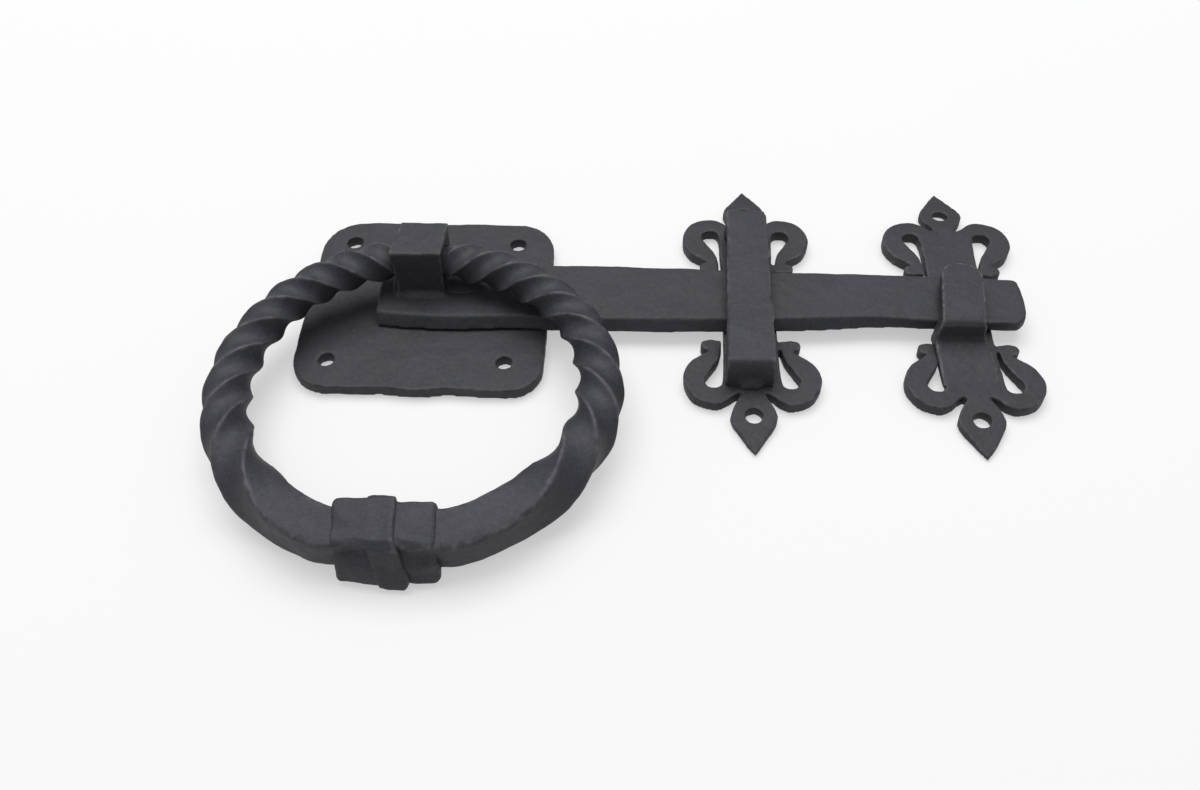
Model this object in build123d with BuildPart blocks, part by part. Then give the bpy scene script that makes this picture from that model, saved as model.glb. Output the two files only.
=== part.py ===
"""Ring-handle gate latch: backplate with pivoting bar and swinging ring, bridge guide and hook keeper.

X runs along the latch bar towards the keeper, Y is up on the gate and Z stands out from the gate.
The origin is the centre of the backplate's four screw holes, on the backplate's back face.
The parts stand as they lie on a flat surface, with the bar in the keeper and the ring hanging down.
"""
from build123d import *
from math import atan2, cos, degrees, radians, sin
import os

# Driving dimensions, in millimetres and degrees
plate_t = 4.6  # forged plates: backplate, guide plate and keeper plate
screw_d = 6.0  # holes for the fixing screws
edge_round = 0.6  # worn edge of forged plates and straps
riveting_clearance = 0.05  # between a tenon or rivet and its hole, on the radius

# Backplate
backplate_w, backplate_h, backplate_corner = 90.6, 86.6, 15.0
backplate_centre = (1.0, -1.0)
backplate_pitch_x, backplate_pitch_y = 64.4, 61.6

# Pivot: the boss's tenon turns in the backplate
pivot_y = 5.7
tenon_d = 10.0
tenon_square = 11.0
running_clearance = 0.06
recess_d, recess_depth = 21.0, 2.4
rivet_washer_d, rivet_washer_t = 20.0, 0.9
peen_d, peen_t = 13.0, 0.9
pivot_washer_d = 24.0
washer_gap = 0.12  # free play between washers and backplate

# Latch bar
bar_lift = 0.6  # the bar's back face stands this far off the plates
bar_t = 4.6
bar_left, bar_right = -17.0, 220.5
bar_corner = 5.0
bar_z = plate_t + bar_lift
bar_top = bar_z + bar_t

# Ring boss
boss_w, boss_d, boss_top = 17.6, 17.0, 30.2
bore_y, bore_z = 4.8, 20.2  # the ring swings on the bore's axis
bore_d = 10.6
boss_centre_y = pivot_y + 0.4

# Ring: an oval, a little off centre, hinged on the bore's axis and sloping down to its collar
ring_bar_d = 16.4
ring_neck_d = bore_d - 2 * running_clearance
neck_half = 9.4  # half the length of the round neck, between the ring's shoulders
shoulder_bend = 15.0  # radius of the bend where the stock leaves the boss
shoulder_left_turn, shoulder_right_turn = 13.0, 6.0
ring_left, ring_right = 59.1, 67.6
upper_left_radius, upper_right_radius, lower_radius = 52.0, 54.0, 54.0
ring_side_drop, ring_drop = 58.0, 118.1
ring_bottom_x = 3.0
collar_axis_z = 10.4
ring_gap = 0.6  # between the ring's two ends, under the collar
collar_size, collar_w = 18.6, 33.6
band_size, band_w = 20.4, 11.0
collar_fit = 0.05

# Fleur-de-lis plates
guide_x, keeper_x = 120.6, 198.4
fleur_half = 67.0
fleur_screw_y = 52.0
fleur_strip_half = 9.7
slit_w = 0.9
leaf_slope_start, leaf_tip_t = 44.0, 1.6

# Guide bridge
strap_t = 4.9
bridge_w, bridge_half, bridge_top = 15.6, 39.6, 17.3
bridge_bend = 6.5
tenon_w, tenon_t = 9.0, 2.9

# Keeper hook
hook_w, hook_x = 15.2, keeper_x - 1.5
hook_top = 16.9
hook_tip_y, hook_heel_y = 12.2, -18.4
hook_foot_end, hook_foot_tip_t, hook_foot_heel_t = -37.5, 0.5, 3.6
hook_bend = 5.5


def finish(builder, label):
    """Name a finished piece and write it to its own STEP file."""
    builder.part.label = label
    export_step(builder.part, f"parts/{label}.step")


def oval_quarter(across, down, side_radius, start=(0, 0), start_turn=0):
    """Radius of the flat arc of a quarter oval, and the turns in degrees of its two tangent arcs.

    The quarter ends across and down from the origin, and side_radius is the radius of the arc at its side.
    It leaves its start turned down by start_turn degrees.
    """
    out_x, out_y = sin(radians(start_turn)), cos(radians(start_turn))
    to_start_x, to_start_y = start[0] - (across - side_radius), start[1] + down
    inward = -(to_start_x * out_x + to_start_y * out_y)
    flat_radius = (side_radius**2 - to_start_x**2 - to_start_y**2) / (2 * (side_radius + inward))
    sign = 1 if flat_radius > side_radius else -1
    centre_x, centre_y = start[0] - flat_radius * out_x, start[1] - flat_radius * out_y
    joint_turn = degrees(
        atan2(sign * (across - side_radius - centre_x), sign * (-down - centre_y))
    )
    return flat_radius, joint_turn - start_turn, 90 - joint_turn


os.makedirs("parts", exist_ok=True)

# ---------------------------------------------------------------- backplate
with BuildPart() as backplate:
    with BuildSketch():
        with Locations(backplate_centre):
            RectangleRounded(backplate_w, backplate_h, backplate_corner)
    extrude(amount=plate_t)
    fillet(backplate.faces().sort_by(Axis.Z)[-1].outer_wire().edges(), radius=edge_round)
    with BuildSketch():
        with GridLocations(backplate_pitch_x, backplate_pitch_y, 2, 2):
            Circle(screw_d / 2)
        with Locations((0, pivot_y)):
            Circle(tenon_d / 2 + running_clearance)
    extrude(amount=plate_t, mode=Mode.SUBTRACT)
    with BuildSketch():
        with Locations((0, pivot_y)):
            Circle(recess_d / 2)
    extrude(amount=recess_depth, mode=Mode.SUBTRACT)
finish(backplate, "backplate")


# ---------------------------------------------------------------- fleur-de-lis plates
def fleur_quarter():
    """One quarter of the outline: half a leaf, one scroll and half of the middle strip."""
    notch = (4.3, 42.0)
    leaf_corner = (8.2, 52.0)
    tail_inner = (fleur_strip_half + slit_w, 18.0)
    with BuildSketch(mode=Mode.PRIVATE) as quarter:
        with BuildLine():
            Line((0, 0), (0, fleur_half))
            ThreePointArc((0, fleur_half), (5.0, 59.3), leaf_corner)
            ThreePointArc(leaf_corner, (7.3, 46.8), notch)
            outer = Spline(
                notch,
                (8.0, 46.2),
                (13.6, 47.6),
                (20.0, 45.2),
                (23.6, 39.8),
                (24.2, 34.0),
                (21.6, 28.2),
                (17.2, 24.6),
                (14.4, 22.6),
                tangents=((0.6, 1.0), (-0.55, -1.0)),
            )
            tail = ThreePointArc(outer @ 1, (17.9, 20.6), (14.6, 17.4))
            Line(tail @ 1, tail_inner)
            slot = Spline(
                tail_inner,
                (10.9, 22.5),
                (12.8, 28.0),
                (16.2, 33.8),
                (17.1, 38.0),
                (14.2, 40.8),
                (11.0, 38.6),
                (10.0, 32.0),
                (fleur_strip_half, 24.0),
                tangents=((0, 1.0), (0, -1.0)),
            )
            Line(slot @ 1, (fleur_strip_half, 0))
            Line((fleur_strip_half, 0), (0, 0))
        make_face()
    return quarter.sketch


def fleur_plate(x, tenon_slots=()):
    """A plate with four scrolls and two tapered leaves, its centre at x on the bar's centreline."""
    with BuildPart() as plate:
        with BuildSketch(Plane.XY) as outline:
            add(fleur_quarter())
            mirror(about=Plane.YZ)
            mirror(about=Plane.XZ)
            with Locations((0, fleur_screw_y), (0, -fleur_screw_y)):
                Circle(screw_d / 2, mode=Mode.SUBTRACT)
            for y in tenon_slots:
                with Locations((0, y)):
                    Rectangle(
                        tenon_w + 2 * riveting_clearance,
                        tenon_t + 2 * riveting_clearance,
                        mode=Mode.SUBTRACT,
                    )
        extrude(amount=plate_t)
        for end in (1, -1):
            with BuildSketch(Plane.YZ):
                with BuildLine():
                    Polyline(
                        (end * leaf_slope_start, plate_t),
                        (end * fleur_half, leaf_tip_t),
                        (end * (fleur_half + 5), leaf_tip_t),
                        (end * (fleur_half + 5), plate_t + 1),
                        (end * leaf_slope_start, plate_t + 1),
                        close=True,
                    )
                make_face()
            extrude(amount=8.4, both=True, mode=Mode.SUBTRACT)
    plate.part.position = (x, 0, 0)
    return plate


bridge_leg_y = bridge_half - strap_t / 2
guide_plate = fleur_plate(guide_x, tenon_slots=(bridge_leg_y, -bridge_leg_y))
finish(guide_plate, "guide_plate")
keeper_plate = fleur_plate(keeper_x)
finish(keeper_plate, "keeper_plate")

# ---------------------------------------------------------------- guide bridge
with BuildPart() as guide_bridge:
    with BuildSketch(Plane.YZ.offset(guide_x)):
        with BuildLine():
            outer = FilletPolyline(
                (-bridge_half, plate_t),
                (-bridge_half, bridge_top),
                (bridge_half, bridge_top),
                (bridge_half, plate_t),
                radius=bridge_bend,
            )
            Line(outer @ 1, (bridge_half - strap_t, plate_t))
            inner = FilletPolyline(
                (bridge_half - strap_t, plate_t),
                (bridge_half - strap_t, bridge_top - strap_t),
                (-bridge_half + strap_t, bridge_top - strap_t),
                (-bridge_half + strap_t, plate_t),
                radius=bridge_bend - strap_t,
            )
            Line(inner @ 1, outer @ 0)
        make_face()
    extrude(amount=bridge_w / 2, both=True)
    with BuildSketch(Plane.XY.offset(plate_t)):
        with Locations((guide_x, bridge_leg_y), (guide_x, -bridge_leg_y)):
            Rectangle(tenon_w, tenon_t)
    extrude(amount=-(plate_t - 0.3))
finish(guide_bridge, "guide_bridge")

# ---------------------------------------------------------------- keeper hook
# The foot is forge-welded to the plate and thins towards its end. The tip is round and free.
with BuildPart() as keeper_hook:
    with BuildSketch(Plane.YZ.offset(hook_x)):
        with BuildLine():
            outer = FilletPolyline(
                (hook_foot_end, plate_t + hook_foot_tip_t),
                (hook_heel_y - 0.5, plate_t + hook_foot_heel_t),
                (hook_heel_y, hook_top),
                (hook_tip_y, hook_top),
                radius=(2.5, hook_bend),
            )
            Line(outer @ 1, (hook_tip_y, hook_top - strap_t))
            inner = FilletPolyline(
                (hook_tip_y, hook_top - strap_t),
                (hook_heel_y + strap_t, hook_top - strap_t),
                (hook_heel_y + strap_t, plate_t),
                radius=1.5,
            )
            Line(inner @ 1, (hook_foot_end, plate_t))
            Line((hook_foot_end, plate_t), outer @ 0)
        make_face()
    extrude(amount=hook_w / 2, both=True)
    with BuildSketch(Plane.XY.offset(hook_top)):
        with Locations((hook_x, hook_tip_y)):
            Rectangle(hook_w + 2, hook_w, align=(Align.CENTER, Align.MAX))
        with Locations((hook_x, hook_tip_y - hook_w / 2)):
            Circle(hook_w / 2, mode=Mode.SUBTRACT)
            Rectangle(hook_w, hook_w, align=(Align.CENTER, Align.MAX), mode=Mode.SUBTRACT)
    extrude(amount=-strap_t, mode=Mode.SUBTRACT)
finish(keeper_hook, "keeper_hook")

# ---------------------------------------------------------------- latch bar
with BuildPart() as latch_bar:
    with BuildSketch(Plane.XY.offset(bar_z)) as bar_outline:
        with BuildLine():
            upper = Line((bar_left, 14.2), (bar_right - 1.5, 10.4))
            end = ThreePointArc(upper @ 1, (bar_right, 0), (bar_right - 3.5, -12.2))
            lower = Spline(
                end @ 1,
                (192, -11.6),
                (167, -10.8),
                (136, -12.6),
                (105, -13.5),
                (50, -13.6),
                (bar_left + 1, -13.2),
            )
            Line(lower @ 1, upper @ 0)
        make_face()
        corners_by_x = bar_outline.vertices().group_by(Axis.X)
        fillet(corners_by_x[-1] + corners_by_x[-2], radius=bar_corner)
        with Locations((0, pivot_y)):
            Rectangle(
                tenon_square + 2 * riveting_clearance,
                tenon_square + 2 * riveting_clearance,
                mode=Mode.SUBTRACT,
            )
    extrude(amount=bar_t)
finish(latch_bar, "latch_bar")

# ---------------------------------------------------------------- ring boss and its washers
with BuildPart() as ring_boss:
    with BuildSketch(Plane.XY.offset(bar_top)):
        with Locations((0, boss_centre_y)):
            Rectangle(boss_w, boss_d)
    extrude(amount=boss_top - bar_top)
    fillet(ring_boss.faces().sort_by(Axis.Z)[-1].edges(), radius=edge_round)
    with BuildSketch(Plane.YZ.offset(-boss_w / 2)):
        with Locations((bore_y, bore_z)):
            Circle(bore_d / 2)
    extrude(amount=boss_w, mode=Mode.SUBTRACT)
    with BuildSketch(Plane.XY.offset(bar_z)):
        with Locations((0, pivot_y)):
            Rectangle(tenon_square, tenon_square)
    extrude(amount=bar_t)
    peen_z = recess_depth - washer_gap - rivet_washer_t - peen_t
    with BuildSketch(Plane.XY.offset(peen_z)):
        with Locations((0, pivot_y)):
            Circle(tenon_d / 2)
    extrude(amount=bar_z - peen_z)
    with BuildSketch(Plane.XY.offset(peen_z)):
        with Locations((0, pivot_y)):
            Circle(peen_d / 2)
    extrude(amount=peen_t)
finish(ring_boss, "ring_boss")


def washer(outer_d, thickness, z):
    """A flat washer on the tenon, its lower face at z."""
    with BuildPart() as ring_washer:
        with BuildSketch(Plane.XY.offset(z)):
            with Locations((0, pivot_y)):
                Circle(outer_d / 2)
                Circle(tenon_d / 2 + riveting_clearance, mode=Mode.SUBTRACT)
        extrude(amount=thickness)
    return ring_washer


pivot_washer = washer(pivot_washer_d, bar_lift - washer_gap, plate_t + washer_gap)
finish(pivot_washer, "pivot_washer")
rivet_washer = washer(rivet_washer_d, rivet_washer_t, recess_depth - washer_gap - rivet_washer_t)
finish(rivet_washer, "rivet_washer")

# ---------------------------------------------------------------- ring
# The ring lies in a plane through the bore's axis that slopes down to the collar.
slope = degrees(atan2(bore_z - collar_axis_z, ring_drop))
ring_plane = Plane(
    origin=(0, bore_y, bore_z), x_dir=(1, 0, 0), z_dir=Vector(0, 0, 1).rotate(Axis.X, slope)
)


def half_ring_path(side, across, shoulder_turn, upper_radius):
    """Five tangent arcs from the boss to the collar, down one side of the ring, in its plane."""
    shoulder_run = shoulder_bend * sin(radians(shoulder_turn))
    shoulder_drop = shoulder_bend * (1 - cos(radians(shoulder_turn)))
    top_radius, top_turn, upper_turn = oval_quarter(
        across,
        ring_side_drop,
        upper_radius,
        start=(neck_half + shoulder_run, -shoulder_drop),
        start_turn=shoulder_turn,
    )
    base_radius, base_turn, lower_turn = oval_quarter(
        across - side * ring_bottom_x, ring_drop - ring_side_drop, lower_radius
    )
    gap_turn = degrees(ring_gap / 2 / base_radius)
    arcs = (
        (shoulder_bend, shoulder_turn),
        (top_radius, top_turn),
        (upper_radius, upper_turn),
        (lower_radius, lower_turn),
        (base_radius, base_turn - gap_turn),
    )
    end, heading = Vector(side * neck_half, 0), Vector(side, 0)
    with BuildLine() as flat_path:
        for radius, turn in arcs:
            arc = JernArc(start=end, tangent=heading, radius=radius, arc_size=-side * turn)
            end, heading = arc @ 1, arc % 1
    return ring_plane.from_local_coords(flat_path.wire())


with BuildPart() as ring:
    for side, across, shoulder_turn, upper_radius in (
        (1, ring_right, shoulder_right_turn, upper_right_radius),
        (-1, ring_left, shoulder_left_turn, upper_left_radius),
    ):
        path = half_ring_path(side, across, shoulder_turn, upper_radius)
        with BuildSketch(Plane(origin=path @ 0, z_dir=path % 0)):
            Circle(ring_bar_d / 2)
        sweep(path=path)
    with BuildSketch(Plane.YZ.offset(-neck_half)):
        with Locations((bore_y, bore_z)):
            Circle(ring_neck_d / 2)
    extrude(amount=2 * neck_half)
finish(ring, "ring")


# ---------------------------------------------------------------- collar and band
def sleeve(outer_size, hole_size, hole_is_round, width):
    """A square sleeve bent to the ring's curve, centred on the bottom of the ring."""
    bottom_drop = ring_drop - ring_side_drop
    base_r = oval_quarter(ring_right - ring_bottom_x, bottom_drop, lower_radius)[0]
    half_turn = degrees(width / 2 / base_r)
    centre = (ring_bottom_x, base_r - ring_drop)
    with BuildPart() as bent_sleeve:
        with BuildLine(ring_plane) as path:
            CenterArc(centre, base_r, 270 - half_turn, 2 * half_turn)
        with BuildSketch(Plane(origin=path.line @ 0, x_dir=ring_plane.z_dir, z_dir=path.line % 0)):
            RectangleRounded(outer_size, outer_size, 2.0)
            if hole_is_round:
                Circle(hole_size / 2, mode=Mode.SUBTRACT)
            else:
                RectangleRounded(hole_size, hole_size, 2.0, mode=Mode.SUBTRACT)
        sweep(path=path.line)
    return bent_sleeve


ring_collar = sleeve(collar_size, ring_bar_d + 2 * collar_fit, True, collar_w)
finish(ring_collar, "ring_collar")
collar_band = sleeve(band_size, collar_size + 2 * collar_fit, False, band_w)
finish(collar_band, "collar_band")
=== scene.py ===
from math import atan2, cos, degrees, pi, radians, sin, sqrt, tan

import bmesh
import bpy
import numpy as np
from bpy.props import FloatProperty, FloatVectorProperty, IntProperty, PointerProperty
from mathutils import Matrix, Vector
from mathutils.geometry import interpolate_bezier


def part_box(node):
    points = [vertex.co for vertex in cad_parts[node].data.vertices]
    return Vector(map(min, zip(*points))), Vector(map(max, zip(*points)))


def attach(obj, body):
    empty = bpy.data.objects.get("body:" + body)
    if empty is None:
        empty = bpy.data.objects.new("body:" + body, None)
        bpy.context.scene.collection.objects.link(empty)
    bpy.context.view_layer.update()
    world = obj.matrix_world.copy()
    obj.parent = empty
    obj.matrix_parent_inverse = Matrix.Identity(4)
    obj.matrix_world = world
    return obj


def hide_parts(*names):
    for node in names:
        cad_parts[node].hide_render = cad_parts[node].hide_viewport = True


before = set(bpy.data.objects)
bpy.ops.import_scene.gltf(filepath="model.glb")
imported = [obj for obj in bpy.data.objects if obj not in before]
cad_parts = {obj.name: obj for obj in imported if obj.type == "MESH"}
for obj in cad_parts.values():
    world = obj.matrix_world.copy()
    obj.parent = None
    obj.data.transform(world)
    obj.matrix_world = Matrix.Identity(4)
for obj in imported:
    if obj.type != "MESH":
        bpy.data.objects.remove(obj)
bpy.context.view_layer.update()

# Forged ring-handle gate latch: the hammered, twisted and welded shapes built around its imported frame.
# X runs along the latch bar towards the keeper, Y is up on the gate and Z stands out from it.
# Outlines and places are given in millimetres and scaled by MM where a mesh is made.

bl_info = {
    "name": "Forged ring latch",
    "version": (1, 0, 0),
    "blender": (4, 5, 0),
    "location": "3D View > Sidebar > Ring latch",
    "description": "Builds the hammered pieces of a ring-handle gate latch around its frame",
    "category": "Object",
}

MM = 0.001


def box(node):
    """Lowest and highest corner of a frame node, in millimetres."""
    low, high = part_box(node)
    return low / MM, high / MM


# ---------------------------------------------------------------- sizes taken from the frame
plate_low, plate_high = box("backplate")
bar_low, bar_high = box("latch_bar")
boss_high = box("ring_boss")[1]
bridge_high = box("guide_bridge")[1]
hook_low, hook_high = box("keeper_hook")
guide_low, guide_high = box("guide_plate")
keeper_low, keeper_high = box("keeper_plate")
PLATE_T = plate_high.z
FLEUR_HALF = guide_high.y
GUIDE_X = (guide_low.x + guide_high.x) / 2
KEEPER_X = (keeper_low.x + keeper_high.x) / 2

# ---------------------------------------------------------------- sizes shared by several pieces
SCREW_D = 6.0
SCREW_X, SCREW_Y = 32.2, 30.8
FLEUR_SCREW_Y = 52.0
PIVOT_Y, BORE_Y, BORE_Z, BORE_D = 5.7, 4.8, 20.2, 10.6
NECK_HALF, NECK_D = 9.4, 10.48
RECESS_D, RECESS_DEPTH, TENON_D, PEEN_D, PEEN_Z = 21.0, 2.4, 10.0, 13.0, (0.48, 1.38)
STRAP_T = 4.9
MERGE_GAP = 0.005  # corners of a filled outline that are closer than this are one corner


# ---------------------------------------------------------------- settings a user would change
class LatchForging(bpy.types.PropertyGroup):
    """How the smith leaves the surface of the flat and bent pieces."""

    skin: FloatProperty(
        name="Skin detail",
        description="Size of the faces of a hammered skin",
        default=0.55 * MM,
        subtype="DISTANCE",
    )
    fine_skin: FloatProperty(
        name="Fine skin detail",
        description="Size of the faces where slits and scrolls are narrow",
        default=0.42 * MM,
        subtype="DISTANCE",
    )
    worn_edges: IntProperty(
        name="Worn edges",
        description="How many times the edges are softened",
        default=5,
    )
    blow_size: FloatProperty(
        name="Blow size",
        description="Breadth of a hammer mark",
        default=11.0 * MM,
        subtype="DISTANCE",
    )
    blow_depth: FloatProperty(
        name="Blow depth",
        description="Depth of a hammer mark",
        default=0.9 * MM,
        subtype="DISTANCE",
    )
    scale_size: FloatProperty(
        name="Scale size",
        description="Breadth of the small unevenness left by fire scale",
        default=2.6 * MM,
        subtype="DISTANCE",
    )
    scale_depth: FloatProperty(
        name="Scale depth",
        description="Depth of the small unevenness left by fire scale",
        default=0.16 * MM,
        subtype="DISTANCE",
    )


class LatchRing(bpy.types.PropertyGroup):
    """The twisted square stock of the ring."""

    stock_half: FloatProperty(
        name="Half stock",
        description="Half the distance across the flats of the ring's stock",
        default=7.45 * MM,
        subtype="DISTANCE",
    )
    ridge: FloatProperty(
        name="Ridge",
        description="Distance of a twisted ridge's cage from the middle of the stock",
        default=10.3 * MM,
        subtype="DISTANCE",
    )
    quick_twist: FloatProperty(
        name="Quick twist",
        description="Turn of the stock for each millimetre, near the boss",
        default=radians(7.8),
        subtype="ANGLE",
    )


class LatchFinish(bpy.types.PropertyGroup):
    """The matt black finish of the iron."""

    iron: FloatVectorProperty(
        name="Iron",
        description="Colour of the blackened iron",
        default=(0.0285, 0.0292, 0.0355),
        subtype="COLOR",
        size=3,
    )
    ridge_wear_and_highlight_colour: FloatVectorProperty(
        name="Worn and highlighted ridges",
        description="Colour of ridges and edges where the black has rubbed thin, also a painted highlight along them",
        default=(0.115, 0.115, 0.122),
        subtype="COLOR",
        size=3,
    )
    steel: FloatVectorProperty(
        name="Washers",
        description="Colour of the plain washers",
        default=(0.085, 0.085, 0.09),
        subtype="COLOR",
        size=3,
    )


class LatchStudio(bpy.types.PropertyGroup):
    """The pale floor and soft light."""

    floor: FloatVectorProperty(
        name="Floor",
        description="Colour of the floor",
        default=(0.37, 0.37, 0.372),
        subtype="COLOR",
        size=3,
    )
    floor_glow: FloatProperty(
        name="Floor glow",
        description="Light the floor gives back by itself, which keeps the shadows faint",
        default=0.475,
    )
    sky: FloatProperty(
        name="Room light",
        description="Strength of the even light from all round",
        default=0.72,
    )
    window: FloatProperty(
        name="Window light",
        description="Power of the broad light behind the latch",
        default=48.0,
        subtype="POWER",
    )


# ---------------------------------------------------------------- outlines
def flowing(points, steps=6):
    """A smooth run through the points, its ends heading straight for their neighbours."""
    run = [Vector((x, y, 0)) for x, y in points]
    path = [run[0]]
    for here, (start, stop) in enumerate(zip(run, run[1:])):
        leaving = (stop - run[here - 1]) / 2 if here else stop - start
        arriving = (run[here + 2] - start) / 2 if here + 2 < len(run) else stop - start
        path += interpolate_bezier(start, start + leaving / 3, stop - arriving / 3, stop, steps + 1)[1:]
    return [(point.x, point.y) for point in path]


def circle(centre, diameter, steps=40):
    """A closed round outline."""
    radius = diameter / 2
    turns = np.radians(np.linspace(0, 360, steps + 1))[:-1]
    return [(centre[0] + radius * cos(turn), centre[1] + radius * sin(turn)) for turn in turns]


def rounded(corners, steps=6):
    """A closed outline with each corner (x, y, radius) rounded."""
    outline = []
    for place, (x, y, radius) in enumerate(corners):
        corner = Vector((x, y, 0))
        if radius == 0:
            outline.append((x, y))
            continue
        before = (Vector((*corners[place - 1][:2], 0)) - corner).normalized()
        after = (Vector((*corners[(place + 1) % len(corners)][:2], 0)) - corner).normalized()
        half = before.angle(after) / 2
        centre = corner + (before + after).normalized() * radius / sin(half)
        first_spoke = (corner + before * radius / tan(half) - centre).normalized()
        last_spoke = (corner + after * radius / tan(half) - centre).normalized()
        for step in range(steps + 1):
            point = centre + radius * first_spoke.slerp(last_spoke, step / steps)
            outline.append((point.x, point.y))
    return outline


# ---------------------------------------------------------------- cages and pieces
def add_slab(cage, outline, bottom, top, holes=(), upright_at=None):
    """Adds a flat outline, as thick as bottom to top, to a cage, and returns its new corners.

    With upright_at, the outline is drawn in Y and Z, and bottom and top run along X from there.
    """
    shape = bpy.data.curves.new("outline", "CURVE")
    shape.dimensions = "2D"
    shape.fill_mode = "BOTH"
    shape.extrude = (top - bottom) / 2
    for loop in [outline, *holes]:
        spline = shape.splines.new("POLY")
        spline.points.add(len(loop) - 1)
        for point, (x, y) in zip(spline.points, loop):
            point.co = (x, y, 0, 1)
        spline.use_cyclic_u = True
    drawn = bpy.data.objects.new("outline", shape)
    bpy.context.scene.collection.objects.link(drawn)
    graph = bpy.context.evaluated_depsgraph_get()
    mesh = bpy.data.meshes.new_from_object(drawn.evaluated_get(graph))
    bpy.data.objects.remove(drawn)
    bpy.data.curves.remove(shape)
    slab = bmesh.new()
    slab.from_mesh(mesh)
    bmesh.ops.remove_doubles(slab, verts=slab.verts, dist=MERGE_GAP)
    bmesh.ops.recalc_face_normals(slab, faces=slab.faces)
    slab.to_mesh(mesh)
    slab.free()
    known = len(cage.verts)
    cage.from_mesh(mesh)
    bpy.data.meshes.remove(mesh)
    cage.verts.ensure_lookup_table()
    middle = (bottom + top) / 2
    corners = cage.verts[known:]
    for vert in corners:
        x, y, z = vert.co
        if upright_at is None:
            vert.co = (x * MM, y * MM, (z + middle) * MM)
        else:
            vert.co = ((upright_at + middle + z) * MM, x * MM, y * MM)
    return corners


def add_lump(cage, centre, radii, lean=0.0):
    """Adds a rounded lump of weld to a cage, its centre and radii in millimetres."""
    place = Matrix.Translation(Vector(centre) * MM) @ Matrix.Rotation(lean, 4, "Z")
    place = place @ Matrix.Diagonal((radii[0] * MM, radii[1] * MM, radii[2] * MM, 1))
    bmesh.ops.create_icosphere(cage, subdivisions=3, radius=1.0, matrix=place)


def loft(cage, sections, ends=False):
    """Joins closed sections of points, in millimetres, into a loop, or into a bar with closed ends."""
    rows = [[cage.verts.new(Vector(point) * MM) for point in section] for section in sections]
    count = len(rows[0])
    pairs = list(zip(rows, rows[1:])) if ends else list(zip(rows, rows[1:] + rows[:1]))
    for row, following in pairs:
        for here in range(count):
            beside = (here + 1) % count
            cage.faces.new((row[here], row[beside], following[beside], following[here]))
    if ends:
        cage.faces.new(rows[0])
        cage.faces.new(rows[-1])


def hammer_marks(piece, label, size, depth):
    """A live Displace that leaves soft marks of that size and depth."""
    clouds = bpy.data.textures.new(f"{piece.name} {label}", "CLOUDS")
    clouds.noise_scale = size
    clouds.noise_depth = 1
    marks = piece.modifiers.new(label, "DISPLACE")
    marks.texture = clouds
    marks.texture_coords = "LOCAL"
    marks.direction = "NORMAL"
    marks.mid_level = 0.5
    marks.strength = depth


def new_piece(name, cage, node, body, material):
    """Turns a cage into a piece that stands for a frame node, rides its body and has its finish."""
    bmesh.ops.recalc_face_normals(cage, faces=cage.faces)
    mesh = bpy.data.meshes.new(name)
    cage.to_mesh(mesh)
    cage.free()
    for face in mesh.polygons:
        face.use_smooth = True
    piece = bpy.data.objects.new(name, mesh)
    bpy.context.scene.collection.objects.link(piece)
    piece.data.materials.append(material)
    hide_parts(node)
    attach(piece, body)
    return piece


def forge(piece, fine=False, softening=1.0, blows=1.0):
    """The live stack of a forged piece: one fused skin, worn edges and two sizes of hammer mark."""
    settings = bpy.context.scene.latch_forging
    skin = piece.modifiers.new("Fused skin", "REMESH")
    skin.mode = "VOXEL"
    skin.voxel_size = settings.fine_skin if fine else settings.skin
    skin.use_smooth_shade = True
    edges = piece.modifiers.new("Worn edges", "SMOOTH")
    edges.factor = 0.5
    edges.iterations = round(settings.worn_edges * softening)
    hammer_marks(piece, "Hammer blows", settings.blow_size, settings.blow_depth * blows)
    hammer_marks(piece, "Fire scale", settings.scale_size, settings.scale_depth)


def cut(piece, cutter_cage):
    """Takes a cutter away from a piece, applies the cut and removes the cutter."""
    mesh = bpy.data.meshes.new("cutter")
    bmesh.ops.recalc_face_normals(cutter_cage, faces=cutter_cage.faces)
    cutter_cage.to_mesh(mesh)
    cutter_cage.free()
    cutter = bpy.data.objects.new("cutter", mesh)
    bpy.context.scene.collection.objects.link(cutter)
    hole = piece.modifiers.new("Hole", "BOOLEAN")
    hole.operation = "DIFFERENCE"
    hole.solver = "EXACT"
    hole.use_self = True
    hole.object = cutter
    graph = bpy.context.evaluated_depsgraph_get()
    shaped = bpy.data.meshes.new_from_object(piece.evaluated_get(graph))
    piece.modifiers.clear()
    old = piece.data
    piece.data = shaped
    bpy.data.meshes.remove(old)
    bpy.data.objects.remove(cutter)
    bpy.data.meshes.remove(mesh)


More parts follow.
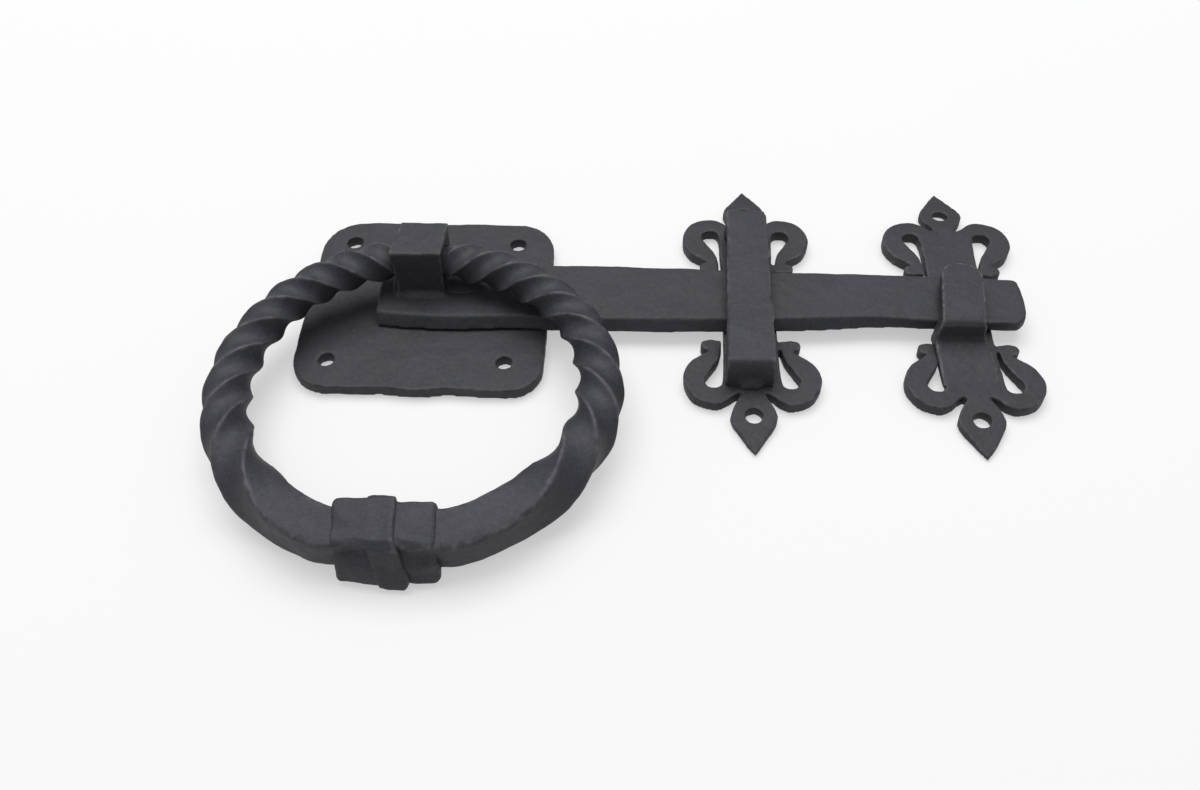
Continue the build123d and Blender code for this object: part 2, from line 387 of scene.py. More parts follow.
# ---------------------------------------------------------------- materials
def blackened_iron(name, colour, grain=1.0, ridge_wear_and_highlight=1.0, gloss=0.0):
    """Matt black forged iron: fine grain, soft mottling, and paler ridges that are partly worn black and
    partly a painted highlight along the edges.
    """
    ridge_wear_and_highlight_colour = tuple(bpy.context.scene.latch_finish.ridge_wear_and_highlight_colour)
    material = bpy.data.materials.new(name)
    material.use_nodes = True
    tree = material.node_tree
    tree.nodes.clear()
    nodes, links = tree.nodes, tree.links

    output = nodes.new("ShaderNodeOutputMaterial")
    output.label = "Iron surface"
    iron = nodes.new("ShaderNodeBsdfPrincipled")
    iron.label = "Blackened iron"
    place = nodes.new("ShaderNodeTexCoord")
    place.label = "Place on the piece"

    mottle = nodes.new("ShaderNodeTexNoise")
    mottle.label = "Uneven blackening"
    mottle_tone = nodes.new("ShaderNodeMapRange")
    mottle_tone.label = "Dark to light patches"
    speck = nodes.new("ShaderNodeTexNoise")
    speck.label = "Powdery speckle"
    speck_tone = nodes.new("ShaderNodeMapRange")
    speck_tone.label = "Speckle tone"
    tone = nodes.new("ShaderNodeMath")
    tone.label = "Patches and speckle"
    tint = nodes.new("ShaderNodeMix")
    tint.label = "Iron colour by tone"

    sharp = nodes.new("ShaderNodeNewGeometry")
    sharp.label = "Ridges and hollows"
    ridge = nodes.new("ShaderNodeMapRange")
    ridge.label = "Ridges only"
    wear_highlight_noise = nodes.new("ShaderNodeTexNoise")
    wear_highlight_noise.label = "Broken wear and highlight"
    wear_highlight_tone = nodes.new("ShaderNodeMapRange")
    wear_highlight_tone.label = "Where ridges are worn and highlighted"
    rubbed_and_highlighted = nodes.new("ShaderNodeMath")
    rubbed_and_highlighted.label = "Rubbed and highlighted ridges"
    wear_and_highlight_mix = nodes.new("ShaderNodeMix")
    wear_and_highlight_mix.label = "Black worn thin and painted highlight"

    grain_noise = nodes.new("ShaderNodeTexNoise")
    grain_noise.label = "Sandy grain"
    pits = nodes.new("ShaderNodeTexNoise")
    pits.label = "Scale pits"
    grain_bump = nodes.new("ShaderNodeBump")
    grain_bump.label = "Raised grain"
    pit_bump = nodes.new("ShaderNodeBump")
    pit_bump.label = "Shallow pits"
    rough = nodes.new("ShaderNodeMapRange")
    rough.label = "Uneven sheen"

    groups = (
        ("Blackening", (mottle, mottle_tone, speck, speck_tone, tone, tint)),
        ("Worn and highlighted ridges", (sharp, ridge, wear_highlight_noise, wear_highlight_tone, rubbed_and_highlighted, wear_and_highlight_mix)),
        ("Grain and sheen", (grain_noise, pits, grain_bump, pit_bump, rough)),
    )
    for row, (label, members) in enumerate(groups):
        effect = nodes.new("NodeFrame")
        effect.label = label
        for column, node in enumerate(members):
            node.parent = effect
            node.location = (column * 190 - 1300, 600 - row * 420)
    place.location = (-1600, 100)
    iron.location = (100, 300)
    output.location = (420, 300)

    mottle.inputs["Scale"].default_value = 55.0
    mottle.inputs["Detail"].default_value = 4.0
    mottle_tone.inputs["From Min"].default_value = 0.3
    mottle_tone.inputs["From Max"].default_value = 0.7
    mottle_tone.inputs["To Min"].default_value = 0.2
    mottle_tone.inputs["To Max"].default_value = 0.8
    speck.inputs["Scale"].default_value = 1150.0
    speck.inputs["Detail"].default_value = 2.0
    speck_tone.inputs["From Min"].default_value = 0.3
    speck_tone.inputs["From Max"].default_value = 0.7
    speck_tone.inputs["To Min"].default_value = -0.65 * grain
    speck_tone.inputs["To Max"].default_value = 0.65 * grain
    tone.operation = "ADD"
    tone.use_clamp = True
    tint.data_type = "RGBA"
    tint.inputs["A"].default_value = (*[0.82 * c for c in colour], 1)
    tint.inputs["B"].default_value = (*[1.18 * c for c in colour], 1)

    # the paler ridges and edges are partly rubbed black and partly a painted highlight along them
    ridge.inputs["From Min"].default_value = 0.511
    ridge.inputs["From Max"].default_value = 0.545
    ridge.inputs["To Max"].default_value = 0.75 * ridge_wear_and_highlight
    wear_highlight_noise.inputs["Scale"].default_value = 240.0
    wear_highlight_noise.inputs["Detail"].default_value = 5.0
    wear_highlight_tone.inputs["From Min"].default_value = 0.36
    wear_highlight_tone.inputs["From Max"].default_value = 0.62
    rubbed_and_highlighted.operation = "MULTIPLY"
    rubbed_and_highlighted.use_clamp = True
    wear_and_highlight_mix.data_type = "RGBA"
    wear_and_highlight_mix.inputs["B"].default_value = (*ridge_wear_and_highlight_colour, 1)

    grain_noise.inputs["Scale"].default_value = 1900.0
    grain_noise.inputs["Detail"].default_value = 3.0
    pits.inputs["Scale"].default_value = 420.0
    pits.inputs["Detail"].default_value = 4.0
    grain_bump.inputs["Strength"].default_value = 0.35 * grain
    grain_bump.inputs["Distance"].default_value = 0.12 * MM
    pit_bump.inputs["Strength"].default_value = 0.4
    pit_bump.inputs["Distance"].default_value = 0.25 * MM
    rough.inputs["To Min"].default_value = 0.52 - gloss
    rough.inputs["To Max"].default_value = 0.68 - gloss
    iron.inputs["Specular IOR Level"].default_value = 0.33

    links.new(place.outputs["Object"], mottle.inputs["Vector"])
    links.new(place.outputs["Object"], speck.inputs["Vector"])
    links.new(mottle.outputs["Fac"], mottle_tone.inputs["Value"])
    links.new(speck.outputs["Fac"], speck_tone.inputs["Value"])
    links.new(mottle_tone.outputs["Result"], tone.inputs[0])
    links.new(speck_tone.outputs["Result"], tone.inputs[1])
    links.new(tone.outputs["Value"], tint.inputs["Factor"])
    links.new(tint.outputs["Result"], wear_and_highlight_mix.inputs["A"])
    links.new(sharp.outputs["Pointiness"], ridge.inputs["Value"])
    links.new(place.outputs["Object"], wear_highlight_noise.inputs["Vector"])
    links.new(wear_highlight_noise.outputs["Fac"], wear_highlight_tone.inputs["Value"])
    links.new(ridge.outputs["Result"], rubbed_and_highlighted.inputs[0])
    links.new(wear_highlight_tone.outputs["Result"], rubbed_and_highlighted.inputs[1])
    links.new(rubbed_and_highlighted.outputs["Value"], wear_and_highlight_mix.inputs["Factor"])
    links.new(wear_and_highlight_mix.outputs["Result"], iron.inputs["Base Color"])
    links.new(place.outputs["Object"], grain_noise.inputs["Vector"])
    links.new(place.outputs["Object"], pits.inputs["Vector"])
    links.new(grain_noise.outputs["Fac"], grain_bump.inputs["Height"])
    links.new(pits.outputs["Fac"], pit_bump.inputs["Height"])
    links.new(grain_bump.outputs["Normal"], pit_bump.inputs["Normal"])
    links.new(pit_bump.outputs["Normal"], iron.inputs["Normal"])
    links.new(pits.outputs["Fac"], rough.inputs["Value"])
    links.new(rough.outputs["Result"], iron.inputs["Roughness"])
    links.new(iron.outputs["BSDF"], output.inputs["Surface"])
    return material


def pale_floor(name, colour, glow):
    """A matt floor with a barely seen unevenness."""
    material = bpy.data.materials.new(name)
    material.use_nodes = True
    tree = material.node_tree
    tree.nodes.clear()
    nodes, links = tree.nodes, tree.links
    output = nodes.new("ShaderNodeOutputMaterial")
    output.label = "Floor surface"
    output.location = (300, 0)
    floor = nodes.new("ShaderNodeBsdfPrincipled")
    floor.label = "Matt floor"
    floor.location = (0, 0)
    place = nodes.new("ShaderNodeTexCoord")
    place.label = "Place on the floor"
    place.location = (-800, 0)
    uneven = nodes.new("ShaderNodeTexNoise")
    uneven.label = "Uneven whiteness"
    uneven.location = (-600, 0)
    tint = nodes.new("ShaderNodeMix")
    tint.label = "Floor colour"
    tint.location = (-300, 0)
    uneven.inputs["Scale"].default_value = 6.0
    floor.inputs["Emission Strength"].default_value = glow
    floor.inputs["Emission Color"].default_value = (1, 1, 1, 1)
    tint.data_type = "RGBA"
    tint.inputs["A"].default_value = (*[0.99 * c for c in colour], 1)
    tint.inputs["B"].default_value = (*colour, 1)
    floor.inputs["Roughness"].default_value = 0.85
    floor.inputs["Specular IOR Level"].default_value = 0.1
    links.new(place.outputs["Object"], uneven.inputs["Vector"])
    links.new(uneven.outputs["Fac"], tint.inputs["Factor"])
    links.new(tint.outputs["Result"], floor.inputs["Base Color"])
    links.new(floor.outputs["BSDF"], output.inputs["Surface"])
    return material


def iron_colour(lightness=1.0):
    """The iron's colour, a little lighter or darker."""
    return tuple(lightness * c for c in bpy.context.scene.latch_finish.iron)


# ---------------------------------------------------------------- backplate
class LATCH_OT_backplate(bpy.types.Operator):
    """The hammered backplate, with its holes and the recess for the peened tenon"""

    bl_idname = "latch.backplate"
    bl_label = "Backplate"

    def execute(self, context):
        left, right = plate_low.x, plate_high.x
        bottom, top = plate_low.y, plate_high.y
        outline = rounded(
            (
                (left, top, 15),
                (right, top, 15),
                (right, bottom + 0.6, 12),
                (26, bottom + 0.1, 20),
                (12, bottom + 1.1, 30),
                (2, bottom - 0.4, 30),
                (-10, bottom + 0.9, 30),
                (left, bottom + 0.3, 14),
            )
        )
        screws = [circle((x, y), SCREW_D) for x in (-SCREW_X, SCREW_X) for y in (-SCREW_Y, SCREW_Y)]
        lap, tenon_slack = 0.2, 0.3  # the slabs overlap, so that the skin fuses them into one plate
        recess = circle((0, PIVOT_Y), RECESS_D)
        tenon_hole = circle((0, PIVOT_Y), TENON_D + tenon_slack)
        cage = bmesh.new()
        add_slab(cage, outline, 0, RECESS_DEPTH + lap, [*screws, recess])
        add_slab(cage, outline, RECESS_DEPTH, PLATE_T, [*screws, tenon_hole])
        # the plate's iron is painted a little darker all over, a painted shade for the darker lower half of
        # the plate under the ring
        material = blackened_iron("plate iron", iron_colour(0.88), ridge_wear_and_highlight=0.5)
        piece = new_piece("forged_backplate", cage, "backplate", "plates", material)
        forge(piece, softening=0.8, blows=0.8)
        return {"FINISHED"}


# ---------------------------------------------------------------- fleur-de-lis plates
def fleur_quarter():
    """From the tip of a leaf, round one scroll, to the side of the middle strip."""
    strip_half, slit = 9.7, 0.9
    leaf = flowing(((0, FLEUR_HALF), (2.6, 63.4), (5.0, 59.3), (7.4, 55.2), (8.2, 52.0)), 4)
    neck = flowing(((8.2, 52.0), (7.0, 48.4), (5.2, 45.2), (3.6, 42.0)), 4)
    scroll = flowing(
        (
            (3.6, 42.0),
            (6.7, 43.7),
            (9.6, 46.3),
            (13.6, 47.6),
            (20.0, 45.2),
            (23.6, 39.8),
            (24.2, 34.0),
            (21.6, 28.2),
            (17.2, 24.6),
            (14.4, 22.6),
        )
    )
    tail = flowing(((14.4, 22.6), (16.6, 22.3), (17.9, 20.6), (17.4, 18.4), (14.6, 17.4)), 3)
    slot = flowing(
        (
            (strip_half + slit, 18.0),
            (10.8, 22.5),
            (12.0, 27.6),
            (14.8, 32.8),
            (16.8, 36.8),
            (15.2, 39.9),
            (11.8, 39.9),
            (10.3, 36.6),
            (strip_half, 24.0),
        )
    )
    return leaf[:-1] + neck[:-1] + scroll[:-1] + tail + slot + [(strip_half, 0)]


def fleur_outline():
    """The whole outline: the quarter mirrored both ways."""
    quarter = fleur_quarter()
    lower_right = [(x, -y) for x, y in reversed(quarter[:-1])]
    right = quarter + lower_right
    left = [(-x, y) for x, y in reversed(right[1:-1])]
    return right + left


class LATCH_OT_fleur_plates(bpy.types.Operator):
    """The guide plate and keeper plate, each with four scrolls and two thinned leaves"""

    bl_idname = "latch.fleur_plates"
    bl_label = "Fleur-de-lis plates"

    def execute(self, context):
        slope_start, tip_t = 44.0, 1.7
        slope = (PLATE_T - tip_t) / (FLEUR_HALF - slope_start)
        outline = fleur_outline()
        screws = [circle((0, y), SCREW_D) for y in (-FLEUR_SCREW_Y, FLEUR_SCREW_Y)]
        colour = iron_colour(0.84)
        for name, node, centre in (
            ("forged_guide_plate", "guide_plate", GUIDE_X),
            ("forged_keeper_plate", "keeper_plate", KEEPER_X),
        ):
            cage = bmesh.new()
            for vert in add_slab(cage, outline, 0, PLATE_T, screws):
                beyond = abs(vert.co.y) - slope_start * MM
                if vert.co.z > PLATE_T / 2 * MM and beyond > 0:
                    vert.co.z -= slope * beyond
                vert.co.x += centre * MM
            material = blackened_iron(f"{node} iron", colour, ridge_wear_and_highlight=0.7)
            piece = new_piece(name, cage, node, "plates", material)
            forge(piece, fine=True, softening=0.7, blows=0.6)
        return {"FINISHED"}


# ---------------------------------------------------------------- latch bar
class LATCH_OT_latch_bar(bpy.types.Operator):
    """The pivoting bar, wavy along its hammered lower edge"""

    bl_idname = "latch.latch_bar"
    bl_label = "Latch bar"

    def execute(self, context):
        left, right = bar_low.x, bar_high.x
        upper = flowing(
            (
                (left, 14.4),
                (40, 14.8),
                (90, 14.1),
                (126, 12.9),
                (155, 12.6),
                (192, 11.6),
                (right - 5, 10.9),
            ),
            3,
        )
        end = flowing(
            (
                (right - 5, 10.9),
                (right - 1.9, 10.4),
                (right - 0.7, 8.2),
                (right, 0),
                (right - 0.7, -8),
                (right - 2.6, -10.8),
            )
        )
        lower = flowing(
            (
                (right - 2.6, -10.8),
                (right - 6.5, -11.9),
                (192, -11.6),
                (167, -10.8),
                (136, -12.6),
                (105, -13.7),
                (78, -14.3),
                (57, -14.7),
                (36, -13.7),
                (14, -14.7),
                (-4, -14.3),
                (left + 2.6, -13.2),
            )
        )
        corner = [(left + 0.9, -12.9), (left + 0.4, -11.6)]
        outline = upper + end[1:] + lower[1:] + corner
        # the lower edge leans, its front in and its back out, and straightens towards the end of the bar
        edge_y, lean, straight_from, fade = -9, 1.6, 196, 50
        middle_z = (bar_low.z + bar_high.z) / 2 * MM
        cage = bmesh.new()
        for vert in add_slab(cage, outline, bar_low.z, bar_high.z):
            if vert.co.y < edge_y * MM:
                shift = lean * min(1, max(0, (straight_from * MM - vert.co.x) / (fade * MM)))
                vert.co.y += shift * MM if vert.co.z > middle_z else -shift * MM
        material = blackened_iron("bar iron", iron_colour(0.9), ridge_wear_and_highlight=0.35)
        piece = new_piece("forged_latch_bar", cage, "latch_bar", "latch", material)
        forge(piece, softening=1.5, blows=0.55)
        return {"FINISHED"}


# ---------------------------------------------------------------- ring boss
class LATCH_OT_ring_boss(bpy.types.Operator):
    """The block that carries the ring, welded to the bar, with its tenon and peened end"""

    bl_idname = "latch.ring_boss"
    bl_label = "Ring boss"

    def execute(self, context):
        bar_top = bar_high.z
        half_w, half_d, centre_y = 8.8, 8.5, 6.1
        cage = bmesh.new()
        sections = []
        # height, spread of the sides, slide of the back to the right, flare of the front
        levels = (
            (bar_top - 2, 0.5, -0.6, 0.0),
            (bar_top + 4, 0.0, -0.3, 0.1),
            (BORE_Z, -0.2, 0.4, 0.7),
            (boss_high.z, 0.1, 1.1, 1.3),
        )
        for z, spread, shear, flare in levels:
            w, d = half_w + spread, half_d + spread * 0.5
            front, back = centre_y - d, centre_y + d
            sections.append(
                (
                    (-w - 0.1 - flare, front, z),
                    (w - 0.8 + flare * 0.6, front, z),
                    (w + shear * 0.6, back, z),
                    (-w + shear, back, z),
                )
            )
        loft(cage, sections, ends=True)
        add_lump(cage, (0.5, -2.4, bar_top - 0.9), (9.8, 3.4, 2.6))
        add_lump(cage, (13, 4.5, bar_top - 1.6), (13, 7.5, 2.9), lean=-0.1)
        add_lump(cage, (-9.2, 3.5, bar_top - 0.8), (3.4, 8, 2.6))
        add_slab(cage, circle((0, PIVOT_Y), TENON_D), PEEN_Z[0] + 0.3, bar_top)
        add_lump(cage, (0, PIVOT_Y, PEEN_Z[1] - 0.25), (PEEN_D / 2, PEEN_D / 2, 0.75))
        material = blackened_iron("boss iron", iron_colour(0.95), ridge_wear_and_highlight=0.9)
        piece = new_piece("forged_ring_boss", cage, "ring_boss", "latch", material)
        bore_slack, bore_reach = 0.2, 14
        bore = bmesh.new()
        add_slab(bore, circle((BORE_Y, BORE_Z), BORE_D + bore_slack), -bore_reach, bore_reach, upright_at=0)
        cut(piece, bore)
        forge(piece, softening=0.6, blows=0.8)
        return {"FINISHED"}


# ---------------------------------------------------------------- straps
def bend(cage, profile, half_width, centre):
    """Adds a bent strap, drawn in Y and Z, with half_width(y, z) either side of centre(y, z)."""
    for vert in add_slab(cage, profile, -1, 1, upright_at=0):
        side = 1 if vert.co.x > 0 else -1
        place = vert.co.y / MM, vert.co.z / MM
        vert.co.x = (centre(*place) + side * half_width(*place)) * MM


class LATCH_OT_guide_bridge(bpy.types.Operator):
    """The strap that bridges the bar, with a lump of weld at each leg"""

    bl_idname = "latch.guide_bridge"
    bl_label = "Guide bridge"

    def execute(self, context):
        half, top = bridge_high.y, bridge_high.z
        foot = PLATE_T - 1.5
        outside = rounded(
            (
                (half, foot, 0),
                (half + 0.3, top - 0.3, 2.8),
                (24, top + 0.1, 60),
                (4, top - 0.5, 60),
                (-20, top - 0.1, 60),
                (-half - 0.1, top + 0.1, 2.2),
                (-half, foot, 0),
                (-half + STRAP_T, foot, 0),
                (-half + STRAP_T, top - STRAP_T, 1.6),
                (-20, top - STRAP_T, 0),
                (0, top - STRAP_T, 0),
                (20, top - STRAP_T, 0),
                (half - STRAP_T, top - STRAP_T, 1.6),
                (half - STRAP_T, foot, 0),
            )
        )

        stations = (-half, -26, -3, 18, half)

        def half_width(y, z):
            shoulder = 0.7 * max(0, (y - half + 2) / 2) if z > top - 3 else 0
            return float(np.interp(y, stations, (8.4, 7.8, 7.5, 7.7, 7.5))) - shoulder

        def centre(y, z):
            return GUIDE_X + float(np.interp(y, stations, (-1.4, -0.2, 0.5, -0.1, -0.6)))

        cage = bmesh.new()
        bend(cage, outside, half_width, centre)
        add_lump(cage, (GUIDE_X - 0.8, -half + 1.3, PLATE_T + 0.4), (5.4, 3.4, 3.6))
        add_lump(cage, (GUIDE_X, half - 0.4, PLATE_T), (7.6, 2.2, 2.0))
        material = blackened_iron("bridge iron", iron_colour(0.92), ridge_wear_and_highlight=0.8)
        piece = new_piece("forged_guide_bridge", cage, "guide_bridge", "plates", material)
        forge(piece, softening=0.7, blows=0.85)
        return {"FINISHED"}


class LATCH_OT_keeper_hook(bpy.types.Operator):
    """The hook over the bar's end, welded to its plate, with a round free tip"""

    bl_idname = "latch.keeper_hook"
    bl_label = "Keeper hook"

    def execute(self, context):
        top, tip_y, foot_y = hook_high.z, hook_high.y, hook_low.y
        hook_x = (hook_low.x + hook_high.x) / 2
        heel_y, tip_r = -18.4, 7.6
        tip_ys = [tip_y - tip_r * (1 - cos(radians(turn))) for turn in (0, 12, 25, 40, 56, 72, 90)]
        # outer y and z, inner y and z, from the free tip over the bar and down to the plate
        path = [(y, top - 0.5 * max(0, (y - 6) / 6), y, top - STRAP_T + 0.2) for y in tip_ys]
        path += [
            (-5, top + 0.3, -5, top - STRAP_T + 0.1),
            (heel_y + 3.4, top + 0.2, heel_y + STRAP_T + 2.4, top - STRAP_T),
            (heel_y + 0.9, top - 0.5, heel_y + STRAP_T + 0.7, top - STRAP_T - 0.2),
            (heel_y - 0.4, top - 2.0, heel_y + STRAP_T, top - STRAP_T - 1.0),
            (heel_y - 0.7, PLATE_T + 5.4, heel_y + STRAP_T, PLATE_T + 2.0),
            (heel_y - 1.7, PLATE_T + 3.2, heel_y + STRAP_T - 0.4, PLATE_T - 1.6),
            (-24, PLATE_T + 2.0, -22, PLATE_T - 2),
            (-29, PLATE_T + 1.3, -29, PLATE_T - 2),
            (foot_y, PLATE_T - 0.2, foot_y, PLATE_T - 2),
        ]

        def half_width(y, z):
            if y > tip_y - tip_r:
                return max(0.9, sqrt(max(0, tip_r**2 - (y - tip_y + tip_r) ** 2)))
            flare = 2.4 * min(1, max(0, (heel_y + 1 - y) / 6)) + 0.8 * max(0, (PLATE_T + 6 - z) / 6)
            return tip_r + min(flare, 2.2)

        def centre(y):
            return hook_x + float(np.interp(y, (foot_y, heel_y - 4, heel_y, 4), (0, -0.8, -2.2, 0.5)))

        sections = []
        for outer_y, outer_z, inner_y, inner_z in path:
            outer_half, inner_half = half_width(outer_y, outer_z), half_width(outer_y, inner_z)
            middle = centre(outer_y)
            sections.append(
                (
                    (middle - outer_half, outer_y, outer_z),
                    (middle + outer_half, outer_y, outer_z),
                    (middle + inner_half, inner_y, inner_z),
                    (middle - inner_half, inner_y, inner_z),
                )
            )
        cage = bmesh.new()
        loft(cage, sections, ends=True)
        # its edges are painted strongly paler, partly wear and partly a painted highlight round the free tip
        material = blackened_iron("hook iron", iron_colour(0.95), ridge_wear_and_highlight=1.3)
        piece = new_piece("forged_keeper_hook", cage, "keeper_hook", "plates", material)
        forge(piece, softening=0.8, blows=0.7)
        return {"FINISHED"}


# ---------------------------------------------------------------- ring
RING_LEFT, RING_RIGHT = 59.1, 67.6
SHOULDER_BEND, SHOULDER_LEFT, SHOULDER_RIGHT = 15.0, radians(13), radians(6)
UPPER_LEFT_R, UPPER_RIGHT_R, LOWER_R = 52.0, 54.0, 54.0
SIDE_DROP, RING_DROP, BOTTOM_X, COLLAR_AXIS_Z = 58.0, 118.1, 3.0, 10.4
COLLAR_LIFT = 3.1  # the ring runs straight through its collar, this far above its lowest point
RING_SLOPE = atan2(BORE_Z - COLLAR_AXIS_Z, RING_DROP)
RING_UP = Vector((0, cos(RING_SLOPE), sin(RING_SLOPE)))  # up the ring, in its plane
RING_FACE = Vector((0, -sin(RING_SLOPE), cos(RING_SLOPE)))  # out of the ring's plane
RING_ORIGIN = Vector((0, BORE_Y, BORE_Z))


def oval_quarter(across, down, side_radius, start=Vector((0, 0)), start_turn=0.0):
    """Radius of the flat arc of a quarter oval that ends across and down, and the turns of its two arcs."""
    leaving = Vector((sin(start_turn), cos(start_turn)))
    side_centre = Vector((across - side_radius, -down))
    to_start = start - side_centre
    flat_radius = (side_radius**2 - to_start.length_squared) / (2 * (side_radius - to_start.dot(leaving)))
    between = side_centre - (start - flat_radius * leaving)
    if flat_radius < side_radius:
        between.negate()
    joint_turn = atan2(between.x, between.y)
    return flat_radius, joint_turn - start_turn, pi / 2 - joint_turn


def ring_stations(side, across, shoulder_turn, upper_radius, spacing):
    """Stations (run, place, outward) from the shoulder to the bottom of the ring, down one side."""
    shoulder = Vector((sin(shoulder_turn), cos(shoulder_turn) - 1)) * SHOULDER_BEND
    after_shoulder = Vector((NECK_HALF, 0)) + shoulder
    top_radius, top_turn, upper_turn = oval_quarter(
        across, SIDE_DROP, upper_radius, after_shoulder, shoulder_turn
    )
    base_radius, base_turn, lower_turn = oval_quarter(
        across - side * BOTTOM_X, RING_DROP - SIDE_DROP, LOWER_R
    )
    arcs = (
        (SHOULDER_BEND, shoulder_turn),
        (top_radius, top_turn),
        (upper_radius, upper_turn),
        (LOWER_R, lower_turn),
        (base_radius, base_turn),
    )
    run, heading = 0.0, 0.0
    point = Vector((side * NECK_HALF, 0))
    stations = []
    for radius, turn in arcs:
        steps = max(1, round(radius * turn / spacing))
        centre = point + radius * Vector((-side * sin(heading), -cos(heading)))
        for step in range(steps):
            angle = heading + turn * step / steps
            outward = Vector((side * sin(angle), cos(angle)))
            place = centre + radius * outward
            place.y = max(place.y, COLLAR_LIFT - RING_DROP)
            stations.append((run + radius * turn * step / steps, place, outward))
        heading += turn
        point = centre + radius * Vector((side * sin(heading), cos(heading)))
        run += radius * turn
    return stations


def twist_turns(runs, start, quick):
    """Turn of the stock at each run, from its rate: quick by the boss and still by the collar."""
    rate_runs = (0, 45, 60, 95, 115, 132, 150, 160)
    rates = np.array((1.0, 1.0, 0.83, 0.83, 0.53, 0.33, 0.07, 0.0)) * degrees(quick)
    step = 0.5
    fine = np.arange(0, 200, step)
    turned = np.concatenate(([0], np.cumsum(np.interp(fine, rate_runs, rates))[:-1] * step))
    return [radians(start + turn) for turn in np.interp(runs, fine, turned).tolist()]


def ring_section(place, outward, turn, half, ridge, squareness=1.0):
    """Sixteen points round a station: four ridges and twelve points on the flats between them."""
    outward_3d = Vector((outward.x, 0, 0)) + outward.y * RING_UP
    middle = RING_ORIGIN + Vector((place.x, 0, 0)) + place.y * RING_UP
    flank_turn, flank = 13.2, 1.177 * half
    points = []
    for quarter in range(4):
        for offset, reach in ((0, ridge), (flank_turn, flank), (45, half), (90 - flank_turn, flank)):
            angle = turn + radians(quarter * 90 + offset)
            reach = squareness * reach + (1 - squareness) * half
            points.append(middle + reach * (cos(angle) * RING_FACE + sin(angle) * outward_3d))
    return points


class LATCH_OT_ring(bpy.types.Operator):
    """The oval ring of twisted square stock, with a round neck in the boss"""

    bl_idname = "latch.ring"
    bl_label = "Twisted ring"

    def execute(self, context):
        settings = context.scene.latch_ring
        half, ridge = settings.stock_half / MM, settings.ridge / MM
        quick = settings.quick_twist
        spacing = 1.8
        # how thick the stock is at each run from the shoulder, and inside the collar
        stock_runs = (0, 12, 50, 90, 125, 150)
        stock_shares = (0.72, 0.76, 0.79, 0.87, 0.96, 1.0)
        collar_share, collar_half, collar_top = 0.93, 12, -100
        # the stock grows square just after the neck
        first_square, squaring_run = 0.35, 3
        halves = {}
        # the twist starts at another turn on each side, in degrees, and runs a little slower on the left
        for side, across, shoulder_turn, upper_radius, start, twist in (
            (1, RING_RIGHT, SHOULDER_RIGHT, UPPER_RIGHT_R, -112, quick),
            (-1, RING_LEFT, SHOULDER_LEFT, UPPER_LEFT_R, -94, 0.978 * quick),
        ):
            stations = ring_stations(side, across, shoulder_turn, upper_radius, spacing)
            turns = twist_turns([run for run, _, _ in stations], start, twist)
            sections = []
            for (run, place, outward), turn in zip(stations, turns):
                share = float(np.interp(run, stock_runs, stock_shares))
                if abs(place.x - BOTTOM_X) < collar_half and place.y < collar_top:
                    share *= collar_share
                squareness = min(1, first_square + run / squaring_run)
                sections.append(ring_section(place, outward, turn, half * share, ridge * share, squareness))
            neck_in = Vector((side * (NECK_HALF - 0.5), 0))
            sections.insert(0, ring_section(neck_in, Vector((0, 1)), turns[0], NECK_D / 2, 0, 0))
            halves[side] = sections
        cage = bmesh.new()
        loft(cage, halves[1] + halves[-1][::-1])
        # its twisted ridges are painted strongly paler, partly wear and partly a painted highlight along
        # them
        material = blackened_iron("ring iron", iron_colour(1.05), ridge_wear_and_highlight=1.3)
        piece = new_piece("twisted_ring", cage, "ring", "handle", material)
        rounding = piece.modifiers.new("Rounded stock", "SUBSURF")
        rounding.levels = 2
        rounding.render_levels = 2
        forging = context.scene.latch_forging
        blow_size, blow_depth = 9 * MM, 0.8 * MM
        hammer_marks(piece, "Hammer blows", blow_size, blow_depth)
        hammer_marks(piece, "Fire scale", forging.scale_size, forging.scale_depth)
        return {"FINISHED"}


# ---------------------------------------------------------------- collar and band
def collar_point(along, outward, up):
    """A point on the collar: along it from the bottom of the ring, outward from the stock and up from it."""
    below = COLLAR_LIFT - RING_DROP - outward
    return RING_ORIGIN + Vector((BOTTOM_X + along, 0, 0)) + below * RING_UP + up * RING_FACE


